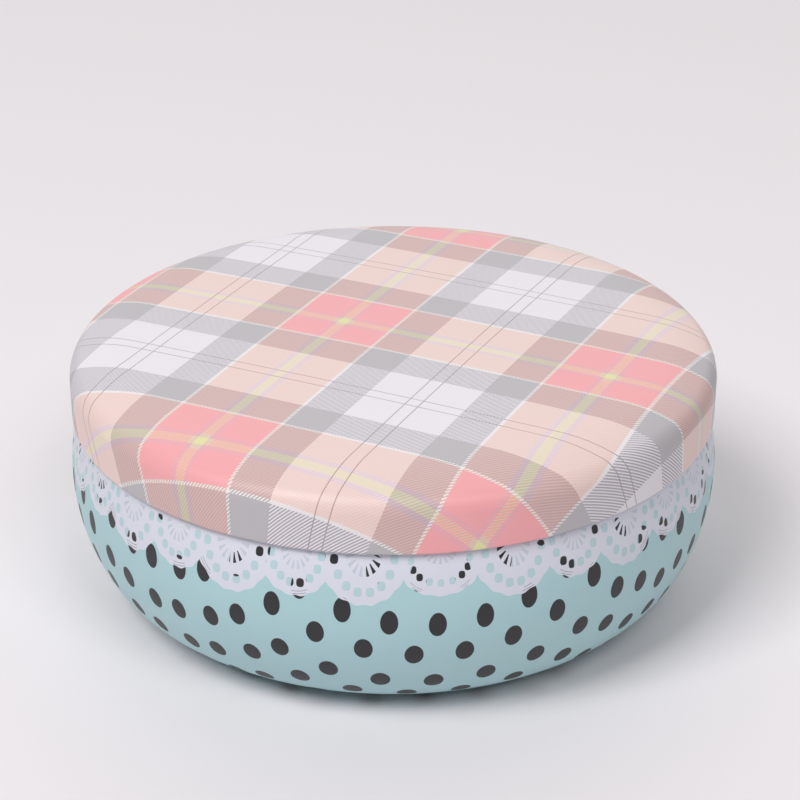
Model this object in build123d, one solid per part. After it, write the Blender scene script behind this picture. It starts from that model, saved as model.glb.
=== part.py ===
from build123d import *
import math
import os

# Round two-piece storage tin: a lift-off lid over a bowl-sided body.
# Millimetres, +Z up, origin on the tin's axis at the surface it stands on.

# Sheet and overall height
sheet = 0.28                # tinplate thickness
tin_height = 49.0           # from the standing ring to the crown of the lid

# Lid: crowned panel, wide soft shoulder, tighter corner, straight skirt, rolled edge
lid_radius = 60.0           # outside of the skirt
lid_height = 12.8           # crown to lower edge
crown_slope = 1.2           # degrees of fall where the crown meets the shoulder
shoulder_radius = 25.0
corner_radius = 3.6
corner_turn = 69.0          # degrees turned by the corner, the rest is the shoulder's
lid_curl_radius = 0.55      # outside of the inward roll that hides the cut edge

# Body: raised base panel, standing ring, bowl, neck, rolled rim
bulge_radius = 60.6         # widest part of the bowl
side_radius = 34.5          # upright curve of the bowl's side
side_turn = 27.0            # degrees of that curve below the bulge
base_corner_radius = 17.75  # curve from the side into the standing ring
neck_radius = 58.6          # outside of the neck that the lid slips over
neck_bend_radius = 2.0      # soft bend between bowl and neck
rim_height = 42.5           # top of the rolled rim
rim_curl_radius = 0.6       # outside of its inward roll
panel_radius = 36.0         # flat of the raised base panel
panel_rise = 0.8            # underside of the panel above the surface
panel_bead_radius = 1.2     # each of the two bends of the step round the panel

curl_turn = 265.0           # degrees that both rolls turn through


def cosine(degrees):
    return math.cos(math.radians(degrees))


def sine(degrees):
    return math.sin(math.radians(degrees))


def drawn_shell(outside, inner_side):
    """Thickens an outside outline inwards by one sheet and spins it round the axis."""
    wall = offset(outside, amount=sheet, side=inner_side, closed=True)
    return revolve(make_face(wall), Axis.Z)


def lid_outline():
    """Outside of the lid, from the crown's centre down to the end of the rolled edge."""
    shoulder_start = (
        lid_radius
        - corner_radius * (1 - cosine(corner_turn))
        - shoulder_radius * (cosine(corner_turn) - sine(crown_slope))
    )
    crown_radius = shoulder_start / sine(crown_slope)
    shoulder_turn = 90 - crown_slope - corner_turn
    skirt_end = tin_height - lid_height + lid_curl_radius
    with BuildLine(Plane.XZ) as outline:
        crown = JernArc((0, tin_height), (1, 0), crown_radius, -crown_slope)
        shoulder = JernArc(crown @ 1, crown % 1, shoulder_radius, -shoulder_turn)
        corner = JernArc(shoulder @ 1, shoulder % 1, corner_radius, -corner_turn)
        skirt = Line(corner @ 1, (lid_radius, skirt_end))
        JernArc(skirt @ 1, skirt % 1, lid_curl_radius, -curl_turn)
    return outline.line


def body_outline():
    """Outside of the body, from the base panel's centre up to the end of the rolled rim."""
    bead_turn = math.degrees(math.acos(1 - panel_rise / (2 * panel_bead_radius)))
    ring_radius = (
        bulge_radius
        - side_radius * (1 - cosine(side_turn))
        - base_corner_radius * cosine(side_turn)
    )
    neck_turn = math.degrees(
        math.acos(1 - (bulge_radius - neck_radius) / (side_radius + neck_bend_radius))
    )
    with BuildLine(Plane.XZ) as outline:
        panel = Line((0, panel_rise), (panel_radius, panel_rise))
        step_down = JernArc(panel @ 1, panel % 1, panel_bead_radius, -bead_turn)
        step_out = JernArc(step_down @ 1, step_down % 1, panel_bead_radius, bead_turn)
        ring = Line(step_out @ 1, (ring_radius, 0))
        base_corner = JernArc(ring @ 1, ring % 1, base_corner_radius, 90 - side_turn)
        side = JernArc(base_corner @ 1, base_corner % 1, side_radius, side_turn + neck_turn)
        neck_bend = JernArc(side @ 1, side % 1, neck_bend_radius, -neck_turn)
        neck = Line(neck_bend @ 1, (neck_radius, rim_height - rim_curl_radius))
        JernArc(neck @ 1, neck % 1, rim_curl_radius, curl_turn)
    return outline.line


lid = drawn_shell(lid_outline(), Side.RIGHT)
tin_body = drawn_shell(body_outline(), Side.LEFT)

os.makedirs("parts", exist_ok=True)
for name, piece in {"lid": lid, "tin_body": tin_body}.items():
    export_step(piece, f"parts/{name}.step")
    print(name, piece.bounding_box())
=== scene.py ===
import math

import bmesh
import bpy
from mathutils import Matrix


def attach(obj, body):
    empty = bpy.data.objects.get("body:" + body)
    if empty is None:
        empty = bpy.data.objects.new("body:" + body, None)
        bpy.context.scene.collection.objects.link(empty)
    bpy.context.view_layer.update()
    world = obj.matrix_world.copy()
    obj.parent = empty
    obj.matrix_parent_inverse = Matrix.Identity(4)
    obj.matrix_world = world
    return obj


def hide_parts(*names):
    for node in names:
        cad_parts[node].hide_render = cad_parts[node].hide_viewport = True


# Round storage tin: a lid with a tartan print over a body with dots and lace, each one drawn sheet

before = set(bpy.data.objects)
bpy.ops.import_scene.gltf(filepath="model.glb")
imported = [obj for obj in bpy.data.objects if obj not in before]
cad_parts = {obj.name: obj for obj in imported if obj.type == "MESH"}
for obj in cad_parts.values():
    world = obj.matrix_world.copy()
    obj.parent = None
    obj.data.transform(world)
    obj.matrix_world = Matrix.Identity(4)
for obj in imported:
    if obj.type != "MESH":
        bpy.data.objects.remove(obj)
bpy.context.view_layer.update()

mm = 0.001  # every size below is in millimetres, the scene is in metres


# Small tools

def linear(hexColor):
    # sRGB hex to the linear colour that a node takes
    channels = [int(hexColor[i:i + 2], 16) / 255 for i in (1, 3, 5)]
    return tuple(c / 12.92 if c <= 0.04045 else ((c + 0.055) / 1.055) ** 2.4 for c in channels) + (1.0,)


def socketOf(value):
    # a node stands for its first live output
    return next(s for s in value.outputs if s.enabled) if isinstance(value, bpy.types.Node) else value


def addNode(tree, kind, links=None, **settings):
    # links gives each input, by name or number, a value, a socket or a node. On a Mix node 0 is the
    # factor, and the two sides are 2 and 3 for numbers, 6 and 7 for colours
    node = tree.nodes.new(kind)
    for name, value in settings.items():
        setattr(node, name, value)
    for name, value in (links or {}).items():
        value = socketOf(value)
        if isinstance(value, bpy.types.NodeSocket):
            tree.links.new(value, node.inputs[name])
        else:
            node.inputs[name].default_value = value
    return node


def newMaterial(name):
    material = bpy.data.materials.new(name)
    material.use_nodes = True
    tree = material.node_tree
    tree.nodes.clear()
    return material, tree


# Outlines of the two drawn shells, traced on the sheet's outer side from the axis to the cut edge

sheetThickness = 0.28

lidShell = {
    "radius": 60.0, "top": 49.0, "height": 12.8,
    "crownSlope": 1.2,  # degrees of fall where the crown meets the shoulder
    "shoulderRadius": 25.0, "cornerRadius": 3.6, "cornerTurn": 69.0,
    "curlRadius": 0.55, "curlTurn": 265.0,  # the lower edge, rolled inwards
    "drawIn": 0.14,  # share by which the flat sheet is shorter than the wall, past the crown
    "steps": 288,  # round the axis
}

bodyShell = {
    "bulgeRadius": 60.6, "sideRadius": 34.5,
    "sideTurn": 27.0,  # degrees of the side's curve below the bulge
    "baseCornerRadius": 17.75,
    "neckRadius": 58.6, "neckBendRadius": 2.0,
    "rimHeight": 42.5, "curlRadius": 0.6, "curlTurn": 265.0,  # the rim, rolled inwards
    "panelRadius": 36.0, "panelRise": 0.8, "panelBeadRadius": 1.2,  # the base, raised in its ring
    # past this length of sheet the wall is stretched, by so much more with every millimetre
    "stretchFrom": 52.35, "stretchGrowth": 0.0098,
    "steps": 288,
}


def traceOutline(r, z, moves, degreesPerStep=6.0, lengthPerStep=2.5):
    # points (r, z, heading, arc length), setting out level; a bend is (radius, degrees), with left
    # turns positive, and a straight is its length
    heading = arc = 0.0
    points = [(r, z, heading, arc)]
    for move in moves:
        radius, turn = move if isinstance(move, tuple) else (None, 0.0)
        length = abs(math.radians(turn)) * radius if radius else move
        count = max(1, math.ceil(max(abs(turn) / degreesPerStep, length / lengthPerStep)))
        chordTurn = math.radians(turn / count)
        step = 2 * radius * math.sin(abs(chordTurn) / 2) if radius else length / count
        for _ in range(count):
            heading += chordTurn / 2
            r += step * math.cos(heading)
            z += step * math.sin(heading)
            heading += chordTurn / 2
            arc += length / count
            points.append((r, z, heading, arc))
    return points


def lidOutline(shell):
    slope = math.radians(shell["crownSlope"])
    cornerTurn = math.radians(shell["cornerTurn"])
    crownEdge = (shell["radius"] - shell["cornerRadius"] * (1 - math.cos(cornerTurn))
                 - shell["shoulderRadius"] * (math.cos(cornerTurn) - math.sin(slope)))
    crownRadius = crownEdge / math.sin(slope)
    drop = (crownRadius * (1 - math.cos(slope))
            + shell["shoulderRadius"] * (math.cos(slope) - math.sin(cornerTurn))
            + shell["cornerRadius"] * math.sin(cornerTurn))
    skirt = shell["height"] - drop - shell["curlRadius"]
    outline = traceOutline(0.0, shell["top"], [
        (crownRadius, -shell["crownSlope"]),
        (shell["shoulderRadius"], shell["crownSlope"] + shell["cornerTurn"] - 90),
        (shell["cornerRadius"], -shell["cornerTurn"]),
        skirt,
        (shell["curlRadius"], -shell["curlTurn"])])
    crownArc = crownRadius * slope
    blank = [arc - shell["drawIn"] * max(0.0, arc - crownArc) for _, _, _, arc in outline]
    depth = [0.0] * len(outline)  # the tartan has no use for it
    return outline, blank, depth


def bodyOutline(shell, seamHeight):
    sideTurn = math.radians(shell["sideTurn"])
    ringRadius = (shell["bulgeRadius"] - shell["sideRadius"] * (1 - math.cos(sideTurn))
                  - shell["baseCornerRadius"] * math.cos(sideTurn))
    beadTurn = math.degrees(math.acos(1 - shell["panelRise"] / (2 * shell["panelBeadRadius"])))
    beadEdge = shell["panelRadius"] + 2 * shell["panelBeadRadius"] * math.sin(math.radians(beadTurn))
    neckSweep = shell["sideRadius"] + shell["neckBendRadius"]
    neckTurn = math.degrees(math.acos(1 - (shell["bulgeRadius"] - shell["neckRadius"]) / neckSweep))
    neckStart = (shell["baseCornerRadius"] * (1 - math.sin(sideTurn))
                 + shell["sideRadius"] * math.sin(sideTurn)
                 + neckSweep * math.sin(math.radians(neckTurn)))
    outline = traceOutline(0.0, shell["panelRise"], [
        shell["panelRadius"],
        (shell["panelBeadRadius"], -beadTurn),
        (shell["panelBeadRadius"], beadTurn),
        ringRadius - beadEdge,
        (shell["baseCornerRadius"], 90 - shell["sideTurn"]),
        (shell["sideRadius"], shell["sideTurn"] + neckTurn),
        (shell["neckBendRadius"], -neckTurn),
        shell["rimHeight"] - shell["curlRadius"] - neckStart,
        (shell["curlRadius"], shell["curlTurn"])])
    roundOff = 0.001  # allowed for in the two comparisons
    blank = [0.0]
    for (_, _, _, arc0), (r1, z1, _, arc1) in zip(outline, outline[1:]):
        inBase = r1 <= ringRadius + roundOff and z1 <= shell["panelRise"] + roundOff
        stretched = max(0.0, (arc0 + arc1) / 2 - shell["stretchFrom"])
        onWall = blank[-1] + (arc1 - arc0) * (1 - shell["stretchGrowth"] * stretched)
        blank.append(r1 if inBase else onWall)
    climb = [(z, arc) for r, z, _, arc in outline if r > ringRadius]
    seamArc = next(arc0 + (arc1 - arc0) * (seamHeight - z0) / (z1 - z0)
                   for (z0, arc0), (z1, arc1) in zip(climb, climb[1:]) if z1 >= seamHeight)
    return outline, blank, [seamArc - arc for _, _, _, arc in outline]


def outlineMesh(name, outline, blank, depth, inward):
    # the cut through the sheet, out along one side and back along the other, as edges, with what the
    # print needs on each point; inward is 1 where the inside lies left of the trace, and -1 on its right
    outer = [(r, z) for r, z, _, _ in outline]
    thickness = inward * sheetThickness
    inner = [(r - thickness * math.sin(heading), z + thickness * math.cos(heading))
             for r, z, heading, _ in outline]
    inner[0] = (0.0, inner[0][1])
    path = [(r * mm, 0.0, z * mm) for r, z in outer + inner[::-1]]
    mesh = bpy.data.meshes.new(name)
    mesh.from_pydata(path, [(i, i + 1) for i in range(len(path) - 1)], [])
    values = {
        "blankRadius": blank + blank[::-1], "depth": depth + depth[::-1],
        "bare": [0.0] * (len(outer) - 1) + [1.0] * (len(inner) + 1),
    }
    for label, numbers in values.items():
        mesh.attributes.new(label, "FLOAT", "POINT").data.foreach_set("value", numbers)
    return mesh


# One Geometry Nodes tree turns either outline round the axis and lays the flat sheet's own
# coordinates on it, so that the print stretches where the sheet was drawn

def drawnShellTree():
    tree = bpy.data.node_groups.new("drawnShell", "GeometryNodeTree")
    for name, kind in (("Outline", "NodeSocketGeometry"), ("Steps", "NodeSocketInt"),
                       ("Printed", "NodeSocketMaterial"), ("Bare", "NodeSocketMaterial")):
        tree.interface.new_socket(name, in_out="INPUT", socket_type=kind)
    tree.interface.new_socket("Shell", in_out="OUTPUT", socket_type="NodeSocketGeometry")
    given = addNode(tree, "NodeGroupInput").outputs
    outline, steps = given["Outline"], given["Steps"]
    size = addNode(tree, "GeometryNodeAttributeDomainSize", {"Geometry": outline}, component="MESH")
    pointCount = size.outputs["Point Count"]

    # A grid: along its columns the outline, from column to column one step round the axis
    columns = addNode(tree, "ShaderNodeMath", {0: steps, 1: 1.0}, operation="ADD")
    grid = addNode(tree, "GeometryNodeMeshGrid", {"Vertices X": columns, "Vertices Y": pointCount})
    index = addNode(tree, "GeometryNodeInputIndex")
    row = addNode(tree, "ShaderNodeMath", {0: index, 1: pointCount}, operation="FLOORED_MODULO")
    along = addNode(tree, "ShaderNodeMath", {0: index, 1: pointCount}, operation="DIVIDE")
    column = addNode(tree, "ShaderNodeMath", {0: along}, operation="FLOOR")
    turn = addNode(tree, "ShaderNodeMath", {0: column, 1: steps}, operation="DIVIDE")
    angle = addNode(tree, "ShaderNodeMath", {0: turn, 1: math.tau}, operation="MULTIPLY")

    # The outline's point, and its place on the flat sheet, both turned to the column's angle
    position = addNode(tree, "GeometryNodeInputPosition")
    place = addNode(tree, "GeometryNodeSampleIndex", {
        "Geometry": outline, "Value": position, "Index": row}, data_type="FLOAT_VECTOR")
    turned = addNode(tree, "ShaderNodeVectorRotate", {
        "Vector": place, "Angle": angle}, rotation_type="Z_AXIS")
    sampled = {}
    for label in ("blankRadius", "depth"):
        onOutline = addNode(tree, "GeometryNodeInputNamedAttribute", {"Name": label}, data_type="FLOAT")
        sampled[label] = addNode(tree, "GeometryNodeSampleIndex", {
            "Geometry": outline, "Value": onOutline, "Index": row}, data_type="FLOAT")
    flat = addNode(tree, "ShaderNodeCombineXYZ", {"X": sampled["blankRadius"], "Z": sampled["depth"]})
    sheet = addNode(tree, "ShaderNodeVectorRotate", {
        "Vector": flat, "Angle": angle}, rotation_type="Z_AXIS")
    placed = addNode(tree, "GeometryNodeSetPosition", {
        "Geometry": grid.outputs["Mesh"], "Position": turned})
    stored = addNode(tree, "GeometryNodeStoreNamedAttribute", {
        "Geometry": placed, "Name": "sheet", "Value": sheet}, data_type="FLOAT_VECTOR", domain="POINT")

    # Faces of the inside are bare, the others printed
    faceRows = addNode(tree, "ShaderNodeMath", {0: pointCount, 1: 1.0}, operation="SUBTRACT")
    faceRow = addNode(tree, "ShaderNodeMath", {0: index, 1: faceRows}, operation="FLOORED_MODULO")
    bareMark = addNode(tree, "GeometryNodeInputNamedAttribute", {"Name": "bare"}, data_type="FLOAT")
    bareFace = addNode(tree, "GeometryNodeSampleIndex", {
        "Geometry": outline, "Value": bareMark, "Index": faceRow}, data_type="FLOAT")
    smooth = addNode(tree, "GeometryNodeSetShadeSmooth", {"Geometry": stored})
    real = addNode(tree, "GeometryNodeRealizeInstances", {"Geometry": smooth})
    printed = addNode(tree, "GeometryNodeSetMaterial", {"Geometry": real, "Material": given["Printed"]})
    finished = addNode(tree, "GeometryNodeSetMaterial", {
        "Geometry": printed, "Selection": bareFace, "Material": given["Bare"]})
    addNode(tree, "NodeGroupOutput", {"Shell": finished})
    return tree


def makeShell(name, outline, steps, printed, bare, tree):
    # runs the tree on an outline and keeps the result as a plain closed mesh
    source = bpy.data.objects.new(name + "Outline", outline)
    bpy.context.scene.collection.objects.link(source)
    modifier = source.modifiers.new("drawnShell", "NODES")
    modifier.node_group = tree
    inputs = {item.name: item.identifier for item in tree.interface.items_tree if item.in_out == "INPUT"}
    modifier[inputs["Steps"]] = steps
    modifier[inputs["Printed"]] = printed
    modifier[inputs["Bare"]] = bare
    graph = bpy.context.evaluated_depsgraph_get()
    mesh = bpy.data.meshes.new_from_object(source.evaluated_get(graph), depsgraph=graph)
    mesh.name = name
    bpy.data.objects.remove(source)  # and its modifier with it
    touching = 0.0005 * mm  # closer points are merged: the seam's two sides and the poles
    work = bmesh.new()
    work.from_mesh(mesh)
    bmesh.ops.remove_doubles(work, verts=work.verts, dist=touching)
    bmesh.ops.recalc_face_normals(work, faces=work.faces)
    work.to_mesh(mesh)
    work.free()
    shell = bpy.data.objects.new(name, mesh)
    bpy.context.scene.collection.objects.link(shell)
    print(name, len(mesh.polygons), "faces")
    return shell


# Offset-printed and varnished tinplate: the inks lie on a white base coat, so they look pale and
# clean, and the stoving varnish gives them a broad satin shine with a trace of orange peel

varnish = {
    "roughness": 0.48, "coat": 0.06, "coatRoughness": 0.30,
    "peelSize": 1.1, "peelHeight": 0.0016, "peelDetail": 2.0,
}


def finishPrint(tree, color):
    place = addNode(tree, "ShaderNodeTexCoord").outputs["Object"]
    peel = addNode(tree, "ShaderNodeTexNoise", {
        "Vector": place, "Scale": 1 / (varnish["peelSize"] * mm), "Detail": varnish["peelDetail"]},
        noise_dimensions="3D")
    bump = addNode(tree, "ShaderNodeBump", {
        "Height": peel, "Strength": 1.0, "Distance": varnish["peelHeight"] * mm})
    shader = addNode(tree, "ShaderNodeBsdfPrincipled", {
        "Base Color": color, "Roughness": varnish["roughness"], "Coat Weight": varnish["coat"],
        "Coat Roughness": varnish["coatRoughness"], "Normal": bump})
    addNode(tree, "ShaderNodeOutputMaterial", {"Surface": shader})


# Tartan of the lid: a pale check of soft squares, where the eye makes out slanting twill lines close
# up. Each way of the cloth has its own count, out from the middle of the white band: white, grey, a
# chalk line, and red with a yellow stripe between two lilac ones

tartan = {
    "warp": {
        "angle": -26.36,  # degrees, of the line across this way's bands
        "sett": 53.53, "shift": 1.2037,  # one repeat, and where it starts, in setts
        "halfWhite": 9.10, "halfRed": 9.46, "chalk": 0.66,
        "lean": 0.0,  # how far the yellow stripe lies off the middle of the red
    },
    "weft": {
        "angle": 64.34, "sett": 52.12, "shift": 1.9619,
        "halfWhite": 9.25, "halfRed": 8.85, "chalk": 0.70, "lean": -1.1,
    },
    "line": 0.28, "lineShift": 1.28,  # two fine charcoal lines in the white, printed over the twill
    "yellow": 1.85, "lilac": 1.0,
    "twillPitch": 0.465,
    # each thread's ink where it crosses white or charcoal, grey or chalk, red or lilac, and yellow
    "threads": {
        "white": ("#EAE5EC", "#EAE5EC", "#F1D5CE", "#F1D5CE"),
        "charcoal": ("#AFA6AD", "#A69EA4", "#BD9D9C", "#BDA294"),
        "grey": ("#ADA7AC", "#BBB7BB", "#CAAAA7", "#C8B8A4"),
        "chalk": ("#F2E8E4", "#F2E8E4", "#F4E6E0", "#F4E6E0"),
        "red": ("#EAD0CA", "#DABAB7", "#F5AAAE", "#F5AAAE"),
        "lilac": ("#DCCCE0", "#CBB9C8", "#E6B0BA", "#DDC8BC"),
        "yellow": ("#E4E3BE", "#D2CEB6", "#E8CCAE", "#E4E0A6"),
    },
}


def threadCount(way):
    # (width, thread) across one sett, from the middle of a white band to the next
    line, lineShift, yellow, lilac = (tartan[name] for name in ("line", "lineShift", "yellow", "lilac"))
    grey = way["sett"] / 2 - way["halfRed"] - way["halfWhite"] - way["chalk"]
    white = [(lineShift - line / 2, "white"), (line, "charcoal"),
             (way["halfWhite"] - lineShift - line / 2, "white"), (grey, "grey"), (way["chalk"], "chalk")]
    red = way["halfRed"] - lilac - yellow / 2
    stripes = [(red + way["lean"], "red"), (lilac, "lilac"), (yellow, "yellow"), (lilac, "lilac"),
               (red - way["lean"], "red")]
    return white + stripes + white[::-1]


def setBands(ramp, stops):
    # hard-edged bands on a colour ramp: stops are (start, colour)
    ramp.color_ramp.interpolation = "CONSTANT"
    bands = ramp.color_ramp.elements
    bands.remove(bands[-1])
    for start, color in stops:
        band = bands[0] if start == stops[0][0] else bands.new(start)
        band.position, band.color = start, color


def tartanMaterial():
    material, tree = newMaterial("tinplate, tartan print under varnish")
    sheet = addNode(tree, "ShaderNodeAttribute", attribute_name="sheet").outputs["Vector"]
    names = list(tartan["threads"])
    numbers = {name: (i + 0.5) / len(names) for i, name in enumerate(names)}
    sameThread = 0.3 / len(names)  # numbers nearer than this mean the same thread
    threadAt, onLine = [], []  # for warp and weft, the thread at the point, and if it is a fine line
    for way in (tartan["warp"], tartan["weft"]):
        angle, sett = math.radians(way["angle"]), way["sett"]
        across = addNode(tree, "ShaderNodeVectorMath", {
            0: sheet, 1: (math.cos(angle) / sett, math.sin(angle) / sett, 0.0)}, operation="DOT_PRODUCT")
        place = addNode(tree, "ShaderNodeMath", {0: across, 1: way["shift"] + 0.5}, operation="ADD")
        inSett = addNode(tree, "ShaderNodeMath", {0: place}, operation="FRACT")
        stops, edge = [], 0.0
        for width, name in threadCount(way):
            stops.append((edge / sett, (numbers[name], numbers[name], numbers[name], 1.0)))
            edge += width
        thread = addNode(tree, "ShaderNodeValToRGB", {"Fac": inSett})
        setBands(thread, stops)
        threadAt.append(thread)
        onLine.append(addNode(tree, "ShaderNodeMath", {
            0: thread, 1: numbers["charcoal"], 2: sameThread}, operation="COMPARE"))

    # Twill: warp and weft threads show in turn along slanting lines, except on the fine lines
    slant = math.radians((tartan["warp"]["angle"] + tartan["weft"]["angle"]) / 2 - 90)
    pitch = tartan["twillPitch"]
    lines = addNode(tree, "ShaderNodeVectorMath", {
        0: sheet, 1: (math.cos(slant) / pitch, math.sin(slant) / pitch, 0.0)}, operation="DOT_PRODUCT")
    inLine = addNode(tree, "ShaderNodeMath", {0: lines}, operation="FRACT")
    weftTurn = addNode(tree, "ShaderNodeMath", {0: inLine, 1: 0.5}, operation="GREATER_THAN")
    noWarpLine = addNode(tree, "ShaderNodeMath", {
        0: weftTurn, 1: onLine[0]}, operation="SUBTRACT", use_clamp=True)
    weftOnTop = addNode(tree, "ShaderNodeMath", {0: noWarpLine, 1: onLine[1]}, operation="MAXIMUM")
    shown = addNode(tree, "ShaderNodeMix", {
        0: weftOnTop, 2: threadAt[0], 3: threadAt[1]}, data_type="FLOAT")
    crossed = addNode(tree, "ShaderNodeMix", {
        0: weftOnTop, 2: threadAt[1], 3: threadAt[0]}, data_type="FLOAT")

    # Ink of the thread on top, from the chart's column for the thread that it crosses
    cloth = None
    for column, firstCrossed in enumerate(("white", "grey", "red", "yellow")):
        inks = addNode(tree, "ShaderNodeValToRGB", {"Fac": shown})
        setBands(inks, [(i / len(names), linear(tartan["threads"][name][column]))
                        for i, name in enumerate(names)])
        if cloth:
            crosses = addNode(tree, "ShaderNodeMath", {
                0: crossed, 1: names.index(firstCrossed) / len(names)}, operation="GREATER_THAN")
            inks = addNode(tree, "ShaderNodeMix", {0: crosses, 6: cloth, 7: inks}, data_type="RGBA")
        cloth = inks
    finishPrint(tree, cloth)
    return material


# A drawn sheet ears: it is pulled further up the wall at four places round it, and less between
# them. In the print that starts at a depth below the lid's edge and grows with every millimetre up

sheetEars = {"count": 4, "angle": -82.0, "from": 32.5, "growth": 0.0265}

# Dots of the body: round on the flat sheet, and tall dark ovals on the wall, where it is stretched

polka = {
    "rowStep": (9.659, 1.147), "nextRow": (4.036, 6.379),  # from dot to dot, and from row to row
    "oddRows": (0.681, -0.558),  # how far every second row is set off
    "start": (-0.673, -71.990), "radius": 1.821,
    "teal": "#AED2D7", "dot": "#232227",
}

# Lace edge, printed over the dots: a white openwork border of scallops. It is measured on the wall,
# in degrees round it and in millimetres below the lid's edge. A small scallop and a big one make a
# pair, and a wider one closes the ring at the front, where a small one would be

lace = {
    "frontAngle": -82.28,  # where the closing scallop is
    "closingHalf": 6.1, "smallHalf": 5.0,  # half widths in degrees
    "pairs": 16,
    "wallRadius": 59.5,  # turns degrees to millimetres
    "sway": 0.6,  # how far the ears move it up and down
    # width and drop are the half axes of the oval that the eyelets lie on, and middle is the depth of
    # its centre. A shift of half a step puts an eyelet in the middle, and fanLift raises the fan
    "small": {
        "width": 4.5, "drop": 6.1, "middle": 0.3, "eyeletHalf": 0.667, "shift": 0.0, "fanLift": 0.0,
    },
    "big": {
        "width": 5.15, "drop": 7.13, "middle": 0.42, "eyeletHalf": 0.704, "shift": 0.0, "fanLift": 0.0,
    },
    "closing": {
        "width": 4.95, "drop": 4.05, "middle": 2.1, "eyeletHalf": 0.556, "shift": 0.5, "fanLift": 1.7,
    },
    "eyeletStep": 22.8,  # degrees of the fan
    "eyeletTall": 1.22, "eyeletSquare": 2.7,  # height over width, and 2 for an ellipse, more for a box
    "rim": 2.35, "bump": 0.016,  # from the eyelets to the edge, and the share that waves under them
    # two hairlines between the threads of the rim, in shares of the scallop and about 0.12 mm wide;
    # only a dot shows through them, at the strength of gapShows
    "gaps": (0.898, 0.958), "gapHalf": 0.0065, "gapShows": 0.6,
    "slitFrom": 0.33, "slitTo": 0.60,  # in shares of the oval
    "slitThin": 0.13, "slitThick": 0.26,  # half widths at either end, in steps of the fan
    "thread": "#DBDDE9",
    "eyeletTeal": "#BAD3DA", "slitTeal": "#C4CDD8",  # the ground seen through either, paler than it is
}


def wallPlace(tree, sheet):
    # degrees from the closing scallop, depth below the lid's edge, and the wave of the ears
    parts = addNode(tree, "ShaderNodeSeparateXYZ", {0: sheet}).outputs
    turn = addNode(tree, "ShaderNodeMath", {0: parts["Y"], 1: parts["X"]}, operation="ARCTAN2")
    degrees = addNode(tree, "ShaderNodeMath", {0: turn, 1: math.degrees(1)}, operation="MULTIPLY")
    fromFront = addNode(tree, "ShaderNodeMath", {
        0: degrees, 1: lace["frontAngle"]}, operation="SUBTRACT")
    aroundFront = addNode(tree, "ShaderNodeMath", {0: fromFront, 1: 180.0, 2: -180.0}, operation="WRAP")
    side = addNode(tree, "ShaderNodeMath", {0: aroundFront}, operation="ABSOLUTE")
    count = sheetEars["count"]
    earTurns = addNode(tree, "ShaderNodeMath", {
        0: turn, 1: count, 2: -count * math.radians(sheetEars["angle"])}, operation="MULTIPLY_ADD")
    ears = addNode(tree, "ShaderNodeMath", {0: earTurns}, operation="COSINE")
    return side, parts["Z"], ears


def earedSheet(tree, sheet, depth, ears):
    # the flat sheet's place, with the sheet pulled up or down the wall by its ears
    height = addNode(tree, "ShaderNodeMath", {0: sheetEars["from"], 1: depth}, operation="SUBTRACT")
    grown = addNode(tree, "ShaderNodeMath", {0: height, 1: 0.0}, operation="MAXIMUM")
    pull = addNode(tree, "ShaderNodeMath", {0: grown, 1: sheetEars["growth"]}, operation="MULTIPLY")
    pulled = addNode(tree, "ShaderNodeMath", {0: pull, 1: ears}, operation="MULTIPLY")
    flat = addNode(tree, "ShaderNodeVectorMath", {0: sheet, 1: (1.0, 1.0, 0.0)}, operation="MULTIPLY")
    outwards = addNode(tree, "ShaderNodeVectorMath", {0: flat}, operation="NORMALIZE")
    moved = addNode(tree, "ShaderNodeVectorMath", {0: outwards, "Scale": pulled}, operation="SCALE")
    return addNode(tree, "ShaderNodeVectorMath", {0: flat, 1: moved}, operation="SUBTRACT")


def dotMask(tree, sheet):
    # two dots in each cell of the lattice, because every second row is set off a little
    (ax, ay), (nextX, nextY), (oddX, oddY) = polka["rowStep"], polka["nextRow"], polka["oddRows"]
    bx, by = 2 * nextX, 2 * nextY
    area = ax * by - ay * bx
    startX, startY = polka["start"]
    masks = []
    for x, y in ((startX, startY), (startX + nextX + oddX, startY + nextY + oddY)):
        fromStart = addNode(tree, "ShaderNodeVectorMath", {
            0: sheet, 1: (x, y, 0.0)}, operation="SUBTRACT")
        alongRow = addNode(tree, "ShaderNodeVectorMath", {
            0: fromStart, 1: (by / area, -bx / area, 0.0)}, operation="DOT_PRODUCT")
        acrossRows = addNode(tree, "ShaderNodeVectorMath", {
            0: fromStart, 1: (-ay / area, ax / area, 0.0)}, operation="DOT_PRODUCT")
        cell = addNode(tree, "ShaderNodeCombineXYZ", {"X": alongRow, "Y": acrossRows})
        shifted = addNode(tree, "ShaderNodeVectorMath", {0: cell, 1: (0.5, 0.5, 0.0)}, operation="ADD")
        inCell = addNode(tree, "ShaderNodeVectorMath", {0: shifted}, operation="FRACTION")
        centred = addNode(tree, "ShaderNodeVectorMath", {
            0: inCell, 1: (0.5, 0.5, 0.0)}, operation="SUBTRACT")
        offX = addNode(tree, "ShaderNodeVectorMath", {
            0: centred, 1: (ax, bx, 0.0)}, operation="DOT_PRODUCT")
        offY = addNode(tree, "ShaderNodeVectorMath", {
            0: centred, 1: (ay, by, 0.0)}, operation="DOT_PRODUCT")
        offset = addNode(tree, "ShaderNodeCombineXYZ", {"X": offX, "Y": offY})
        distance = addNode(tree, "ShaderNodeVectorMath", {0: offset}, operation="LENGTH")
        masks.append(addNode(tree, "ShaderNodeMath", {
            0: distance, 1: polka["radius"]}, operation="LESS_THAN"))
    return addNode(tree, "ShaderNodeMath", {0: masks[0], 1: masks[1]}, operation="MAXIMUM")


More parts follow.
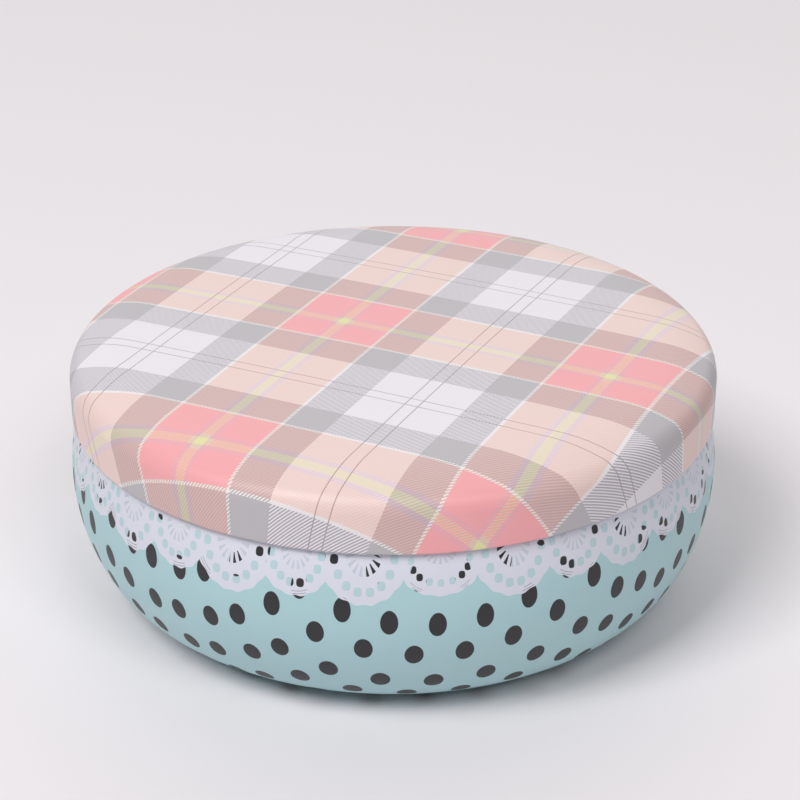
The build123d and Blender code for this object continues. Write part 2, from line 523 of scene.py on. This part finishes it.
def laceMasks(tree, side, depth, ears):
    # masks of the lace's outline, its eyelets, the slits in its fans and the hairlines in its rim
    mathNode = "ShaderNodeMath"
    stepRadians = math.radians(lace["eyeletStep"])
    excess = lace["closingHalf"] - lace["smallHalf"]
    pairPitch = (360 - 2 * excess) / lace["pairs"]
    wallPerDegree = math.radians(1) * lace["wallRadius"]

    # Distance x from the middle of the point's own scallop. The closing one is squeezed to the width
    # of a small one first, so that the pairs go evenly round
    held = addNode(tree, mathNode, {0: side, 1: lace["closingHalf"]}, operation="MINIMUM")
    squeezed = addNode(tree, mathNode, {
        0: held, 1: -excess / lace["closingHalf"], 2: side}, operation="MULTIPLY_ADD")
    inPairs = addNode(tree, mathNode, {0: squeezed, 1: 1 / pairPitch}, operation="MULTIPLY")
    fold = addNode(tree, mathNode, {0: inPairs, 1: 0.5}, operation="PINGPONG")
    isBig = addNode(tree, mathNode, {
        0: fold, 1: lace["smallHalf"] / pairPitch}, operation="GREATER_THAN")
    isClosing = addNode(tree, mathNode, {0: side, 1: lace["closingHalf"]}, operation="LESS_THAN")
    fromBig = addNode(tree, mathNode, {0: 0.5, 1: fold}, operation="SUBTRACT")
    offMiddle = addNode(tree, "ShaderNodeMix", {0: isBig, 2: fold, 3: fromBig}, data_type="FLOAT")
    pairX = addNode(tree, mathNode, {0: offMiddle, 1: pairPitch * wallPerDegree}, operation="MULTIPLY")
    closingX = addNode(tree, mathNode, {0: side, 1: wallPerDegree}, operation="MULTIPLY")
    x = addNode(tree, "ShaderNodeMix", {0: isClosing, 2: pairX, 3: closingX}, data_type="FLOAT")

    # The sizes of that scallop, and the depth y below its oval's centre
    sizes = {}
    for name in lace["small"]:
        inPair = addNode(tree, "ShaderNodeMix", {
            0: isBig, 2: lace["small"][name], 3: lace["big"][name]}, data_type="FLOAT")
        sizes[name] = addNode(tree, "ShaderNodeMix", {
            0: isClosing, 2: inPair, 3: lace["closing"][name]}, data_type="FLOAT")
    centre = addNode(tree, mathNode, {
        0: ears, 1: -lace["sway"], 2: sizes["middle"]}, operation="MULTIPLY_ADD")
    y = addNode(tree, mathNode, {0: depth, 1: centre}, operation="SUBTRACT")

    # Edge of the scallop, with a small bump under each eyelet
    unitX = addNode(tree, mathNode, {0: x, 1: sizes["width"]}, operation="DIVIDE")
    unitY = addNode(tree, mathNode, {0: y, 1: sizes["drop"]}, operation="DIVIDE")
    fan = addNode(tree, mathNode, {0: unitX, 1: unitY}, operation="ARCTAN2")
    fanStep = addNode(tree, mathNode, {
        0: fan, 1: 1 / stepRadians, 2: sizes["shift"]}, operation="MULTIPLY_ADD")
    wave = addNode(tree, mathNode, {0: fanStep, 1: math.tau}, operation="MULTIPLY")
    bump = addNode(tree, mathNode, {0: wave}, operation="COSINE")
    border = addNode(tree, mathNode, {0: bump, 1: -lace["bump"], 2: 1.0}, operation="MULTIPLY_ADD")
    outerWidth = addNode(tree, mathNode, {0: sizes["width"], 1: lace["rim"]}, operation="ADD")
    outerDrop = addNode(tree, mathNode, {0: sizes["drop"], 1: lace["rim"]}, operation="ADD")
    outerX = addNode(tree, mathNode, {0: x, 1: outerWidth}, operation="DIVIDE")
    outerY = addNode(tree, mathNode, {0: y, 1: outerDrop}, operation="DIVIDE")
    outerBelow = addNode(tree, mathNode, {0: outerY, 1: 0.0}, operation="MAXIMUM")
    outerPoint = addNode(tree, "ShaderNodeCombineXYZ", {"X": outerX, "Y": outerBelow})
    outer = addNode(tree, "ShaderNodeVectorMath", {0: outerPoint}, operation="LENGTH")
    inBorder = addNode(tree, mathNode, {0: outer, 1: border}, operation="LESS_THAN")
    above = addNode(tree, mathNode, {0: y, 1: 0.0}, operation="LESS_THAN")
    inside = addNode(tree, mathNode, {0: inBorder, 1: above}, operation="MAXIMUM")
    gaps = [addNode(tree, mathNode, {0: outer, 1: at, 2: lace["gapHalf"]}, operation="COMPARE")
            for at in lace["gaps"]]
    eitherGap = addNode(tree, mathNode, {0: gaps[0], 1: gaps[1]}, operation="MAXIMUM")
    hairline = addNode(tree, mathNode, {0: eitherGap, 1: lace["gapShows"]}, operation="MULTIPLY")

    # Eyelets on the oval: the one nearest to the point, a rounded box
    whole = addNode(tree, mathNode, {0: fanStep}, operation="FLOOR")
    back = addNode(tree, mathNode, {0: whole, 1: sizes["shift"]}, operation="SUBTRACT")
    eyeAngle = addNode(tree, mathNode, {
        0: back, 1: stepRadians, 2: stepRadians / 2}, operation="MULTIPLY_ADD")
    eyeSin = addNode(tree, mathNode, {0: eyeAngle}, operation="SINE")
    eyeCos = addNode(tree, mathNode, {0: eyeAngle}, operation="COSINE")
    eyeX = addNode(tree, mathNode, {0: eyeSin, 1: sizes["width"]}, operation="MULTIPLY")
    eyeY = addNode(tree, mathNode, {0: eyeCos, 1: sizes["drop"]}, operation="MULTIPLY")
    powers = []
    for here, eye, stretch in ((x, eyeX, 1.0), (y, eyeY, lace["eyeletTall"])):
        off = addNode(tree, mathNode, {0: here, 1: eye}, operation="SUBTRACT")
        half = addNode(tree, mathNode, {0: sizes["eyeletHalf"], 1: stretch}, operation="MULTIPLY")
        share = addNode(tree, mathNode, {0: off, 1: half}, operation="DIVIDE")
        plus = addNode(tree, mathNode, {0: share}, operation="ABSOLUTE")
        powers.append(addNode(tree, mathNode, {0: plus, 1: lace["eyeletSquare"]}, operation="POWER"))
    eyeSum = addNode(tree, mathNode, {0: powers[0], 1: powers[1]}, operation="ADD")
    eyelet = addNode(tree, mathNode, {0: eyeSum, 1: 1.0}, operation="LESS_THAN")

    # Slits of the fan, in line with the eyelets and wider outwards
    fanHeight = addNode(tree, mathNode, {0: y, 1: sizes["fanLift"]}, operation="ADD")
    fanY = addNode(tree, mathNode, {0: fanHeight, 1: sizes["drop"]}, operation="DIVIDE")
    fanPoint = addNode(tree, "ShaderNodeCombineXYZ", {"X": unitX, "Y": fanY})
    reach = addNode(tree, "ShaderNodeVectorMath", {0: fanPoint}, operation="LENGTH")
    slitFan = addNode(tree, mathNode, {0: unitX, 1: fanY}, operation="ARCTAN2")
    slitStep = addNode(tree, mathNode, {
        0: slitFan, 1: 1 / stepRadians, 2: sizes["shift"]}, operation="MULTIPLY_ADD")
    inStep = addNode(tree, mathNode, {0: slitStep}, operation="FRACT")
    offSlit = addNode(tree, mathNode, {0: inStep, 1: 0.5}, operation="SUBTRACT")
    slitSide = addNode(tree, mathNode, {0: offSlit}, operation="ABSOLUTE")
    halfSlit = addNode(tree, "ShaderNodeMapRange", {
        "Value": reach, "From Min": lace["slitFrom"], "From Max": lace["slitTo"],
        "To Min": lace["slitThin"], "To Max": lace["slitThick"]})
    thinEnough = addNode(tree, mathNode, {0: slitSide, 1: halfSlit}, operation="LESS_THAN")
    pastStart = addNode(tree, mathNode, {0: reach, 1: lace["slitFrom"]}, operation="GREATER_THAN")
    beforeEnd = addNode(tree, mathNode, {0: reach, 1: lace["slitTo"]}, operation="LESS_THAN")
    inReach = addNode(tree, mathNode, {0: pastStart, 1: beforeEnd}, operation="MULTIPLY")
    slit = addNode(tree, mathNode, {0: inReach, 1: thinEnough}, operation="MULTIPLY")
    return inside, eyelet, slit, hairline


def dottedMaterial():
    material, tree = newMaterial("tinplate, dot and lace print under varnish")
    sheet = addNode(tree, "ShaderNodeAttribute", attribute_name="sheet").outputs["Vector"]
    side, depth, ears = wallPlace(tree, sheet)
    dots = dotMask(tree, earedSheet(tree, sheet, depth, ears))
    inLace, eyelet, slit, hairline = laceMasks(tree, side, depth, ears)

    # Teal ground and white lace, with the ground a little paler in its eyelets and slits
    color = addNode(tree, "ShaderNodeMix", {
        0: inLace, 6: linear(polka["teal"]), 7: linear(lace["thread"])}, data_type="RGBA")
    holes = addNode(tree, "ShaderNodeMath", {0: eyelet, 1: slit}, operation="MAXIMUM")
    pierced = addNode(tree, "ShaderNodeMath", {0: inLace, 1: holes}, operation="MULTIPLY")
    behind = addNode(tree, "ShaderNodeMix", {
        0: eyelet, 6: linear(lace["slitTeal"]), 7: linear(lace["eyeletTeal"])}, data_type="RGBA")
    color = addNode(tree, "ShaderNodeMix", {0: pierced, 6: color, 7: behind}, data_type="RGBA")

    # Dots show wherever no thread covers them, and faintly in the rim's hairlines
    threads = addNode(tree, "ShaderNodeMath", {0: inLace, 1: pierced}, operation="SUBTRACT")
    cover = addNode(tree, "ShaderNodeMath", {
        0: threads, 1: hairline}, operation="SUBTRACT", use_clamp=True)
    uncovered = addNode(tree, "ShaderNodeMath", {0: 1.0, 1: cover}, operation="SUBTRACT")
    dotShows = addNode(tree, "ShaderNodeMath", {0: dots, 1: uncovered}, operation="MULTIPLY")
    color = addNode(tree, "ShaderNodeMix", {
        0: dotShows, 6: color, 7: linear(polka["dot"])}, data_type="RGBA")
    finishPrint(tree, color)
    return material


# Inside of both shells: tinplate under clear lacquer, bright grey and softly mirroring, with the
# fine rings that the drawing press leaves

tinplate = {
    "color": "#D9D7D2", "roughness": 0.36,
    "ringPitch": 0.8, "ringHeight": 0.0008, "ringDetail": 3.0,
}


def tinplateMaterial():
    material, tree = newMaterial("tinplate, clear lacquered")
    sheet = addNode(tree, "ShaderNodeAttribute", attribute_name="sheet").outputs["Vector"]
    flat = addNode(tree, "ShaderNodeVectorMath", {0: sheet, 1: (1.0, 1.0, 0.0)}, operation="MULTIPLY")
    radius = addNode(tree, "ShaderNodeVectorMath", {0: flat}, operation="LENGTH")
    rings = addNode(tree, "ShaderNodeTexNoise", {
        "W": radius, "Scale": 1 / tinplate["ringPitch"], "Detail": tinplate["ringDetail"]},
        noise_dimensions="1D")
    bump = addNode(tree, "ShaderNodeBump", {
        "Height": rings, "Strength": 1.0, "Distance": tinplate["ringHeight"] * mm})
    shader = addNode(tree, "ShaderNodeBsdfPrincipled", {
        "Base Color": linear(tinplate["color"]), "Metallic": 1.0, "Roughness": tinplate["roughness"],
        "Normal": bump})
    addNode(tree, "ShaderNodeOutputMaterial", {"Surface": shader})
    return material


tree = drawnShellTree()
bareTinplate = tinplateMaterial()
tartanPrint = tartanMaterial()
dottedPrint = dottedMaterial()
print("materials ready")

lidMesh = outlineMesh("lidOutline", *lidOutline(lidShell), inward=-1)
printedLid = makeShell("printed_lid", lidMesh, lidShell["steps"], tartanPrint, bareTinplate, tree)
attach(printedLid, "lid")
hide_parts("lid")

lidEdge = lidShell["top"] - lidShell["height"]  # height of the seated lid's lower edge
bodyMesh = outlineMesh("bodyOutline", *bodyOutline(bodyShell, lidEdge), inward=1)
printedBody = makeShell("printed_body", bodyMesh, bodyShell["steps"], dottedPrint, bareTinplate, tree)
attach(printedBody, "tin")
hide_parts("tin_body")


# Studio: a table of pale matt paper, which shows soft shadows and no reflection, a big soft light
# high in front on the left, a weaker one on the right, and dim surroundings with a white backdrop
# low behind, which the varnish of the lid mirrors

studio = {
    "table": "#EFEAED", "tableRoughness": 0.7, "tableSize": 8000.0,
    "surroundings": 0.11, "backdrop": 1.10,  # strength of each
    "backdropHeight": 30.0, "backdropSpread": 60.0,  # degrees up to its middle, and out to its edge
    "lightSize": 1300.0,
    # place and watts
    "lights": {"key": ((-1254.0, -1299.0, 2396.0), 54.5), "fill": ((905.0, -1703.0, 2298.0), 24.0)},
}


def makeTable():
    half = studio["tableSize"] / 2 * mm
    mesh = bpy.data.meshes.new("table")
    corners = [(-half, -half, 0), (half, -half, 0), (half, half, 0), (-half, half, 0)]
    mesh.from_pydata(corners, [], [(0, 1, 2, 3)])
    material, tree = newMaterial("table, matt paper")
    shader = addNode(tree, "ShaderNodeBsdfPrincipled", {
        "Base Color": linear(studio["table"]), "Roughness": studio["tableRoughness"]})
    addNode(tree, "ShaderNodeOutputMaterial", {"Surface": shader})
    mesh.materials.append(material)
    table = bpy.data.objects.new("table", mesh)
    bpy.context.scene.collection.objects.link(table)


def makeLights():
    for name, (place, watts) in studio["lights"].items():
        light = bpy.data.lights.new(name, "AREA")
        light.size = studio["lightSize"] * mm
        light.energy = watts
        lamp = bpy.data.objects.new(name, light)
        bpy.context.scene.collection.objects.link(lamp)
        lamp.location = [c * mm for c in place]
        lamp.rotation_euler = (-lamp.location).to_track_quat("-Z", "Y").to_euler()  # at the tin


def makeSurroundings():
    world = bpy.data.worlds.new("surroundings")
    world.use_nodes = True
    sky = world.node_tree
    sky.nodes.clear()
    height = math.radians(studio["backdropHeight"])
    edge = math.cos(math.radians(studio["backdropSpread"]))
    direction = addNode(sky, "ShaderNodeTexCoord").outputs["Generated"]
    towardsBack = addNode(sky, "ShaderNodeVectorMath", {
        0: direction, 1: (0.0, math.cos(height), math.sin(height))}, operation="DOT_PRODUCT")
    strength = addNode(sky, "ShaderNodeMapRange", {
        "Value": towardsBack, "From Min": edge, "From Max": 1.0,
        "To Min": studio["surroundings"], "To Max": studio["backdrop"]}, interpolation_type="SMOOTHSTEP")
    white = (1.0, 1.0, 1.0, 1.0)
    background = addNode(sky, "ShaderNodeBackground", {"Color": white, "Strength": strength})
    addNode(sky, "ShaderNodeOutputWorld", {"Surface": background})
    bpy.context.scene.world = world


# Camera of the photograph: a 106 mm lens, 26.5 degrees above the horizon, 0.4 m from the tin

photoCamera = {
    "place": (1.24, -398.2, 233.8), "tilt": 26.51,
    "lens": 106.3, "sensor": 36.0, "nearest": 10.0,
}


def makeCamera():
    data = bpy.data.cameras.new("photoCamera")
    data.lens = photoCamera["lens"]
    data.sensor_width = photoCamera["sensor"]
    data.clip_start = photoCamera["nearest"] * mm
    camera = bpy.data.objects.new("photoCamera", data)
    camera.location = [c * mm for c in photoCamera["place"]]
    camera.rotation_euler = (math.radians(90 - photoCamera["tilt"]), 0.0, 0.0)
    bpy.context.scene.collection.objects.link(camera)
    bpy.context.scene.camera = camera


makeTable()
makeLights()
makeSurroundings()
makeCamera()
bpy.context.scene.view_settings.view_transform = "Standard"  # the print's colours as they are
print("studio and camera ready")
